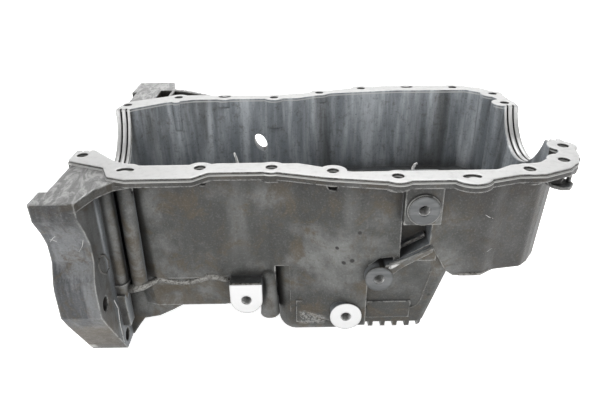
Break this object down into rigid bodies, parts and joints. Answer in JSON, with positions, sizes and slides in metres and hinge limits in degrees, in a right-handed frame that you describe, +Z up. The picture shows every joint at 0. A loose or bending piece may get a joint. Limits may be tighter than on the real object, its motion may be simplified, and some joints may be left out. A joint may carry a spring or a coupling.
{
  "type": "engine oil pan",
  "caption": "Cast aluminium engine oil pan with a deep sump, a machined gasket rail with bolt holes and a winged flange for the transmission.",
  "frame": {"origin": "midway between the middle bolt holes of the front and back rails, on the gasket face", "axes": "+X along the crankshaft from the transmission end to the timing end, +Y from the front row of bolts to the back row, +Z up towards the engine"},
  "size_m": [0.4115, 0.323, 0.17],
  "materials": {
    "cast_aluminium": "rough"
  },
  "bodies": {
    "root": {"oil_pan": "cast_aluminium"}
  },
  "joints": []
}
